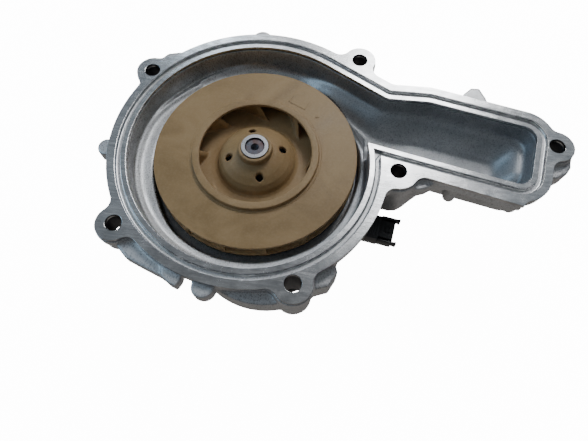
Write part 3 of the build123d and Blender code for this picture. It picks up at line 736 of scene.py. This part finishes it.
def cavity_floor(grid, cavity):
    """Height of the cast floor of the cavity over each point of the plan."""
    x, y = grid.x, grid.y
    radius = np.hypot(x, y)
    angle = np.degrees(np.arctan2(y, x))
    left = np.where(angle < 0, angle + 360, angle)
    # Ledge round the impeller chamber: a rounded crest, with a shallow valley at the wall
    crest_r = LEDGE_CREST_R - 4.4 * (1 - ease(133, 168, left))
    step = 1 - ease(130.5, 132.5, left)
    crest_r = crest_r + step * (2.2 + 4.0 * (1 - ease(88, 131, left)))
    height = 1.8 - 1.1 * (1 - ease(70, 100, left))
    base = LEDGE_BASE_Z - 0.06 * np.maximum(crest_r - radius, 0)
    towards_duct = 1 - ease(52, 125, left)
    base = base - 4.3 * (1 - ease(58, 128, left)) - 0.8 * step * ease(0, 3, radius - crest_r)
    base = base - towards_duct * (2.6 - 0.40 * np.maximum(radius - 72, 0))
    ledge = base + height * np.exp(-((radius - crest_r) / LEDGE_CREST_WIDTH) ** 2)
    ledge = ledge + (NEAR_LEDGE_Z - ledge) * ease(-110, -30, angle) * (1 - ease(15, 60, angle))
    # Duct: the floor falls from the volute, slopes towards the near wall and rises at the end
    depth = DUCT_FLOOR_Z - DUCT_FALL * ease(40, 96, x)
    from_near_wall = y - TONGUE_TIP[1] + 0.18 * (x - TONGUE_TIP[0]) + 3
    shelf = (1 - ease(1.5, 17.0, -cavity)) * ease(6, 22, from_near_wall)
    end_rise = DUCT_END_RISE * ease(140, 182, x) ** 2
    trough = depth + (DUCT_SHELF_Z - depth) * shelf + end_rise * (1 - shelf)
    trough = trough + 0.10 * (from_near_wall - 21) * ease(60, 96, x) * (1 - shelf)
    # The duct's floor takes over past the tongue
    across = ((x - TONGUE_TIP[0]) + (y - TONGUE_TIP[1])) / 2 ** 0.5
    past_tongue = ease(0, 14, across) * ease(-80, -52, -angle)
    beside_tongue = (x > TONGUE_TIP[0]) * ease(-1.5, 1.5, from_near_wall)
    return ledge + (trough - ledge) * np.maximum(past_tongue, beside_tongue)


def chamber_radius(grid):
    """The impeller chamber closes in a little on the duct side and on the side away from it."""
    angle = np.degrees(np.arctan2(grid.y, grid.x))
    duct_side = ease(-60, -20, -np.abs(angle - 10))
    far_side = ease(118, 150, np.abs(angle + 5))
    return CHAMBER_R - 3.2 * duct_side - 3.4 * far_side


def hollow_out(grid, body, cavity):
    """Cut the cavity, the impeller chamber, the bolt holes and the bores on the shaft axis."""
    soft_cavity = blurred(cavity, 4)
    floor = cavity_floor(grid, soft_cavity)
    wall = cavity + (soft_cavity - cavity) * ease(2, 11, -grid.z) - WALL_DRAFT * grid.z
    space = cut(wall + 0.1, grid.z - floor, 3.0)
    chamber = slab(grid, np.hypot(grid.x, grid.y) - chamber_radius(grid), CHAMBER_Z, 10, edge=1.0)
    body = cut(body, join(space, chamber, 2.0), 0.8)
    for x, y, _, _ in LUGS:
        near, box = grid.window((x - 12, y - 12, -60), (x + 12, y + 12, 2))
        body[box] = cut(body[box], circle(near, x, y, BOLT_HOLE_R + 0.15), 0.4)
    near, box = grid.window((-32, -32, -94), (32, 32, -20))
    steps = [slab(near, circle(near, 0, 0, radius), low, high) for radius, low, high in CENTRE_BORES]
    mouth, seat, hole, bearing = steps
    bores = np.minimum(join(mouth, seat, 0.1), np.minimum(hole, bearing))
    body[box] = cut(body[box], bores, 0.4)
    return body


def paint_shade_in_hollows(mesh, surfaces, cavity_line):
    """Faces in the bolt holes, in the impeller chamber and in the rest of the cavity take darker materials
    as painted shade.
    """
    centres = np.empty(3 * len(mesh.polygons), np.float32)
    mesh.polygons.foreach_get("center", centres)
    x, y, z = centres.reshape(-1, 3).T / MM
    in_hole = np.min([np.hypot(x - lug[0], y - lug[1]) for lug in LUGS], axis=0) < BOLT_HOLE_R + 0.5
    in_chamber = (np.hypot(x, y) < CHAMBER_R + 1.0) & (z < CHAMBER_SHADE_TOP_Z) & (z > CHAMBER_Z - 1)
    in_cavity = (polygon_distance(x, y, cavity_line) < 0.8) & (z > DUCT_BACK_Z + 1)
    slots = [surfaces.index(material) for material in (BOLT_BORE_SHADE, CHAMBER_SHADE_CAST, CAVITY_SHADE_CAST)]
    chosen = np.select([in_hole, in_chamber, in_cavity], slots, 0)
    mesh.polygons.foreach_set("material_index", chosen.astype(np.int32))


def make_casting():
    """The housing: cast body, machined rim with the mounting face, and floor of the seal groove."""
    outlines = top_outlines("pump_housing")
    flange_line, groove_outer, groove_inner, cavity_line = outlines[:4]
    low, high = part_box("pump_housing")
    margin = 3.0
    grid = Grid([v / MM - margin for v in low], [v / MM + margin for v in high[:2]] + [2.0], CAST_STEP)
    cavity = polygon_distance(grid.x[:, :, 0:1], grid.y[:, :, 0:1], cavity_line)
    flange = polygon_distance(grid.x[:, :, 0:1], grid.y[:, :, 0:1], flange_line)
    body = casting_outside(grid, cavity, flange)
    body = casting_back(grid, body)
    body = hollow_out(grid, body, cavity)
    body = np.maximum(body, grid.z + RIM_DEPTH - 0.1)
    mesh = mesh_from_field("pump_casting", grid, body)
    surfaces = [MATERIALS["cast_aluminium"], BOLT_BORE_SHADE, CHAMBER_SHADE_CAST, CAVITY_SHADE_CAST]
    casting = link("pump_casting", mesh, *surfaces)
    paint_shade_in_hollows(mesh, surfaces, cavity_line)
    rim = link("machined_rim", filled_sheet(outlines, -RIM_DEPTH, 0.0, RIM_BEVEL), MACHINED)
    groove_floor = channel(groove_outer, groove_inner, GROOVE_DEPTH, GROOVE_WIDTH)
    groove = link("seal_groove", groove_floor, MILLED_GROOVE)
    for piece in (casting, rim, groove):
        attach(piece, "housing")
        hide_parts("pump_housing")


# ---------------------------------------------------------------- impeller

def vane_strip(grid, radius, angle, tip_deg):
    """Field of evenly spaced spiral vanes, as strips without ends."""
    turn = np.degrees(np.log(IMPELLER_R / radius)) / tan(radians(VANE_ANGLE_DEG))
    phase = angle - tip_deg + turn
    phase = (phase + VANE_PITCH_DEG / 2) % VANE_PITCH_DEG - VANE_PITCH_DEG / 2
    return np.abs(radius * np.radians(phase)) * sin(radians(VANE_ANGLE_DEG)) - VANE_THICK / 2


def make_impeller_hub():
    """Disc with bell-shaped hub, long and short spiral vanes and balance holes."""
    reach = IMPELLER_R + 1.5
    grid = Grid((-reach, -reach, -25.5), (reach, reach, 0.5), IMPELLER_STEP)
    radius = np.maximum(np.hypot(grid.x, grid.y), 0.01)
    angle = np.degrees(np.arctan2(grid.y, grid.x))
    inner = BUSH_R + 0.1
    sleeve = SLEEVE_FRONT_Z - 0.1
    profile = [(inner, sleeve), (SLEEVE_R - 0.5, sleeve), (SLEEVE_R, sleeve - 0.5), (SLEEVE_R, -5.5),
               (14.0, -6.8), (18.2, -9.2), (22.0, -12.2), (24.4, -15.2),
               (25.6, -17.8), (27.4, -19.0), (30.0, DISC_Z),
               (IMPELLER_R, DISC_Z), (IMPELLER_R, DISC_BACK_Z), (27.5, DISC_BACK_Z), (24.2, -21.0),
               (22.6, -17.6), (19.6, -13.8), (15.5, -10.8), (12.0, -10.8), (12.0, -24.0), (inner, -24.0)]
    bell = polygon_distance(radius, grid.z + 0 * radius, profile)
    throat_r, throat_z = zip(*SHROUD_THROAT)
    top = grid.z - np.interp(radius, throat_r, throat_z).astype(np.float32) - 0.05
    # The leading edges lean inwards from the eye's rim down to the disc
    leading = (EYE_R + 0.8 - radius) * 0.94 + (grid.z - throat_z[0]) * 0.30
    body = bell
    for root, tip_deg in ((MAIN_VANE_R, VANE_TIP_DEG), (SPLITTER_VANE_R, VANE_TIP_DEG + VANE_PITCH_DEG / 2)):
        strip = vane_strip(grid, radius, angle, tip_deg)
        start = leading if root == MAIN_VANE_R else root - radius
        ends = np.maximum(start, radius - IMPELLER_R)
        height = np.maximum(top, DISC_BACK_Z + 0.4 - grid.z)
        vane = np.maximum(rounded_max(strip + 0.5, ends + 0.5) - 0.5, height)
        body = join(body, vane, 1.2)
    for i in range(4):
        turn = radians(BALANCE_START_DEG + 90 * i)
        hole = circle(grid, BALANCE_R * cos(turn), BALANCE_R * sin(turn), BALANCE_HOLE_R)
        body = cut(body, hole, 0.6)
    body = np.maximum(body, BUSH_R - radius)
    hub = link("impeller_hub_moulding", mesh_from_field("impeller_hub", grid, body), HUB_PLASTIC_SHADED)
    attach(hub, "rotor")
    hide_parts("impeller_hub")


def raised_strip(points, width, low, high):
    """Mesh of a low moulded line through plan points, square in section."""
    bm = bmesh.new()
    for (x1, y1), (x2, y2) in zip(points, points[1:]):
        run = Vector((x2 - x1, y2 - y1, 0))
        turn = Matrix.Rotation(run.to_track_quat("X", "Z").to_euler().z, 4, "Z")
        middle = Matrix.Translation([v * MM for v in ((x1 + x2) / 2, (y1 + y2) / 2, (low + high) / 2)])
        size = Matrix.Diagonal(((run.length + width) * MM, width * MM, (high - low) * MM, 1))
        bmesh.ops.create_cube(bm, size=1, matrix=middle @ turn @ size)
    mesh = bpy.data.meshes.new("strip")
    bm.to_mesh(mesh)
    bm.free()
    return mesh


def make_impeller_shroud():
    """Front ring of the impeller, with its raised lip, a blank mould outline and a gate mark."""
    low = SHROUD_Z - SHROUD_THICK
    step = SHROUD_Z + 0.25
    profile = softened([*SHROUD_THROAT, (IMPELLER_R, low), (IMPELLER_R, SHROUD_Z),
                        (EYE_LIP_R + 1.6, SHROUD_Z), (EYE_LIP_R + 1.4, step), (EYE_LIP_R, step),
                        (EYE_LIP_R - 0.3, EYE_LIP_Z), (EYE_R, EYE_LIP_Z)], 0.5)
    bm = bmesh.new()
    bm.from_mesh(lathe(profile, 256))
    bm.from_mesh(raised_strip(MOULD_MARK, MOULD_LINE_WIDTH, SHROUD_Z - 0.3, SHROUD_Z + 0.22))
    x, y = GATE_MARK
    bmesh.ops.create_cone(bm, cap_ends=True, segments=24, radius1=1.3 * MM, radius2=0.9 * MM, depth=0.7 * MM,
                          matrix=Matrix.Translation((x * MM, y * MM, SHROUD_Z * MM)))
    mesh = bpy.data.meshes.new("impeller_shroud")
    bm.to_mesh(mesh)
    bm.free()
    crisp(mesh)
    shroud = link("impeller_shroud_ring", mesh, MATERIALS["tan_plastic"])
    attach(shroud, "rotor")
    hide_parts("impeller_shroud")


# ---------------------------------------------------------------- plug

def box_between(bm, x, y, z):
    """Add a box to a mesh from its limits in millimetres."""
    sizes = [(b - a) * MM for a, b in (x, y, z)]
    middle = [(a + b) / 2 * MM for a, b in (x, y, z)]
    return bmesh.ops.create_cube(bm, size=1, matrix=Matrix.LocRotScale(Vector(middle), None, Vector(sizes)))


def bevelled(name, boxes, bevel_mm, material):
    """One piece from overlapping boxes, each with its edges rounded."""
    bm = bmesh.new()
    for x, y, z in boxes:
        made = bmesh.new()
        box_between(made, x, y, z)
        width = min(bevel_mm * MM, 0.3 * MM * min(b - a for a, b in (x, y, z)))
        bmesh.ops.bevel(made, geom=made.edges[:], offset=width, segments=2, affect="EDGES", profile=0.5)
        part = bpy.data.meshes.new("part")
        made.to_mesh(part)
        made.free()
        bm.from_mesh(part)
        bpy.data.meshes.remove(part)
    mesh = bpy.data.meshes.new(name)
    bm.to_mesh(mesh)
    bm.free()
    crisp(mesh, 40)
    return link(name, mesh, material)


def make_plug():
    """Connector shell: a block, the four walls of its mouth, its root, and a latch between two cheeks."""
    half = PLUG_WIDTH / 2
    top = PLUG_HEIGHT / 2
    mouth = (8, PLUG_LENGTH)
    inside = (-top + 0.6, top - 0.6)
    boxes = [
        ((-4, 9), (-half, half), (-top, top)),
        (mouth, (-half + 0.3, -5.6), inside),
        (mouth, (5.6, half - 0.3), inside),
        (mouth, (-half + 0.3, half - 0.3), (2.6, top - 0.6)),
        (mouth, (-half + 0.3, half - 0.3), (-top + 0.6, -3.0)),
        ((-17, -3.5), (-6, 6), (-top, 0)),
        ((12.4, 16.2), (-2.2, 2.2), (top - 0.8, top + 0.5)),
        ((14.6, 16.2), (-2.2, 2.2), (top - 0.8, top + 0.9)),
    ]
    for side in (-1, 1):
        middle = side * (half - 0.2)
        tip = PLUG_LENGTH + 2.8
        boxes.append(((9, tip), (middle - 0.9, middle + 0.9), (0.5, top)))
        boxes.append(((tip - 1.4, tip), (middle - 1.1, middle + 1.1), (0.3, top + 0.2)))
    for i in range(7):
        x = -2.6 + 1.6 * i
        boxes.append(((x, x + 0.7), (-half + 0.8, half - 0.8), (top - 0.3, top + 0.25)))
    plug = bevelled("coil_plug", boxes, 0.45, MATERIALS["black_plastic"])
    plug.data.transform(Matrix.Translation([v * MM for v in PLUG_ROOT])
                        @ Matrix.Rotation(radians(PLUG_TURN_DEG), 4, "Z"))
    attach(plug, "housing")
    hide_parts("connector_body")


# ---------------------------------------------------------------- finish of the carried-over nodes

def dress_nodes():
    """Every CAD node takes the material of its slot in the record."""
    for row in frame["record"]["subparts"]:
        node = frame["nodes"][row["node"]]
        node.data.materials.clear()
        node.data.materials.append(MATERIALS[row["material_slot"]])
    frame["nodes"]["pump_shaft"].data.materials[0] = SHAFT_STEEL_SHADED


# ---------------------------------------------------------------- stage

def make_floor():
    """Plain white ground that the camera sees, but that neither lights the metal nor shows in it."""
    low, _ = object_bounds()
    bm = bmesh.new()
    bmesh.ops.create_grid(bm, x_segments=1, y_segments=1, size=FLOOR_HALF_SIZE_M)
    mesh = bpy.data.meshes.new("floor")
    bm.to_mesh(mesh)
    bm.free()
    mesh.transform(Matrix.Translation((0, 0, low[2] - FLOOR_GAP * MM)))
    s = Shader("white_ground")
    s.set(Base_Color=(0.9, 0.9, 0.9, 1), Roughness=1.0)
    s.set(Emission_Color=(1, 1, 1, 1), Emission_Strength=FLOOR_GLOW)
    floor = link("floor", mesh, s.material)
    floor.visible_diffuse = False
    floor.visible_glossy = False
    floor.visible_transmission = False


def area_light(name, place, aim, size, radiance, colour):
    """Rectangular panel of a given radiance that faces a point."""
    lamp = bpy.data.lights.new(name, "AREA")
    lamp.shape = "RECTANGLE"
    lamp.size, lamp.size_y = size
    lamp.energy = radiance * pi * size[0] * size[1]
    lamp.color = colour
    obj = bpy.data.objects.new(name, lamp)
    obj.location = place
    obj.rotation_euler = (Vector(aim) - Vector(place)).to_track_quat("-Z", "Y").to_euler()
    bpy.context.scene.collection.objects.link(obj)


def make_lights():
    """A dim sky, lighter below the horizon, with two soft skies and five panels as windows."""
    world = bpy.data.worlds.new("studio")
    bpy.context.scene.world = world
    world.use_nodes = True
    nodes, links = world.node_tree.nodes, world.node_tree.links
    direction = nodes.new("ShaderNodeTexCoord").outputs["Generated"]
    split = nodes.new("ShaderNodeSeparateXYZ")
    ramp = nodes.new("ShaderNodeValToRGB")
    links.new(direction, split.inputs[0])
    links.new(split.outputs["Z"], ramp.inputs["Fac"])
    below, above = ramp.color_ramp.elements
    below.color = (0.26, 0.245, 0.23, 1)
    above.position = 0.08
    above.color = (0.080, 0.088, 0.095, 1)
    links.new(ramp.outputs["Color"], nodes["Background"].inputs["Color"])
    for name, place, size, radiance, colour in SKIES:
        area_light(name, place, (place[0], place[1], 0.0), size, radiance, colour)
    for name, place, size, radiance, colour in WINDOWS:
        area_light(name, place, LIGHT_TARGET_M, size, radiance, colour)


def make_camera():
    """The photograph's viewpoint."""
    camera = bpy.data.cameras.new("camera")
    camera.lens = CAMERA_LENS
    camera.clip_start = 0.01
    obj = bpy.data.objects.new("camera", camera)
    turn = Matrix.Rotation(radians(CAMERA_TURN_DEG), 4, "Z")
    tilt = Matrix.Rotation(radians(CAMERA_TILT_DEG), 4, "X")
    roll = Matrix.Rotation(radians(CAMERA_ROLL_DEG), 4, "Z")
    obj.matrix_world = Matrix.Translation([v * MM for v in CAMERA_AT]) @ turn @ tilt @ roll
    bpy.context.scene.collection.objects.link(obj)
    bpy.context.scene.camera = obj


dress_nodes()
make_casting()
make_impeller_hub()
make_impeller_shroud()
make_plug()
make_floor()
make_lights()
make_camera()
